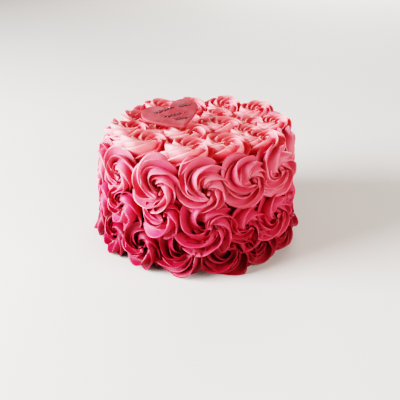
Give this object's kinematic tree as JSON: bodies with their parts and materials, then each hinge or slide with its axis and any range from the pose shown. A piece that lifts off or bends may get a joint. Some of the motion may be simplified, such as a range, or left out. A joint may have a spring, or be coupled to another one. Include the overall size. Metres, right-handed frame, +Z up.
{
  "type": "buttercream rosette cake",
  "caption": "Small round buttercream cake, uncut. Piped swirl rosettes cover it, deep raspberry at the foot fading to pale pink on top, where a thin sugar heart leans.",
  "frame": {"origin": "centre of the flat base of the cake, where it stands", "axes": "+Z up through the middle of the cake, -Y towards the front, where the heart's tip points, +X to the right"},
  "size_m": [0.1954, 0.1954, 0.1236],
  "materials": {
    "crumb_coat": "soft buttercream, a thin coat between the rosettes",
    "raspberry_cream": "piped buttercream, deep raspberry, satin",
    "cerise_cream": "piped buttercream, cerise, satin",
    "rose_cream": "piped buttercream, rose pink, satin",
    "blush_cream": "piped buttercream, pale blush pink, satin",
    "sugar_paste": "rolled sugar paste, dusty pink, matt, with dark pen strokes"
  },
  "bodies": {
    "root": {"cake_body": "crumb_coat", "rosette_lower_01": "raspberry_cream", "rosette_lower_02": "raspberry_cream", "rosette_lower_03": "raspberry_cream", "rosette_lower_04": "raspberry_cream", "rosette_lower_05": "raspberry_cream", "rosette_lower_06": "raspberry_cream", "rosette_lower_07": "raspberry_cream", "rosette_lower_08": "raspberry_cream", "rosette_lower_09": "raspberry_cream", "rosette_lower_10": "raspberry_cream", "rosette_lower_11": "raspberry_cream", "rosette_lower_12": "raspberry_cream", "rosette_lower_13": "raspberry_cream", "rosette_lower_14": "raspberry_cream", "rosette_middle_01": "cerise_cream", "rosette_middle_02": "cerise_cream", "rosette_middle_03": "cerise_cream", "rosette_middle_04": "cerise_cream", "rosette_middle_05": "cerise_cream", "rosette_middle_06": "cerise_cream", "rosette_middle_07": "cerise_cream", "rosette_middle_08": "cerise_cream", "rosette_middle_09": "cerise_cream", "rosette_middle_10": "cerise_cream", "rosette_middle_11": "cerise_cream", "rosette_middle_12": "cerise_cream", "rosette_middle_13": "cerise_cream", "rosette_upper_01": "rose_cream", "rosette_upper_02": "rose_cream", "rosette_upper_03": "rose_cream", "rosette_upper_04": "rose_cream", "rosette_upper_05": "rose_cream", "rosette_upper_06": "rose_cream", "rosette_upper_07": "rose_cream", "rosette_upper_08": "rose_cream", "rosette_upper_09": "rose_cream", "rosette_upper_10": "rose_cream", "rosette_upper_11": "rose_cream", "rosette_upper_12": "rose_cream", "rosette_upper_13": "rose_cream", "rosette_top_outer_01": "blush_cream", "rosette_top_outer_02": "blush_cream", "rosette_top_outer_03": "blush_cream", "rosette_top_outer_04": "blush_cream", "rosette_top_outer_05": "blush_cream", "rosette_top_outer_06": "blush_cream", "rosette_top_outer_07": "blush_cream", "rosette_top_outer_08": "blush_cream", "rosette_top_outer_09": "blush_cream", "rosette_top_outer_10": "blush_cream", "rosette_top_outer_11": "blush_cream", "rosette_top_inner_01": "blush_cream", "rosette_top_inner_02": "blush_cream", "rosette_top_inner_03": "blush_cream", "rosette_top_inner_04": "blush_cream", "rosette_top_inner_05": "blush_cream", "rosette_top_inner_06": "blush_cream", "rosette_top_inner_07": "blush_cream", "sugar_heart": "sugar_paste"}
  },
  "joints": []
}
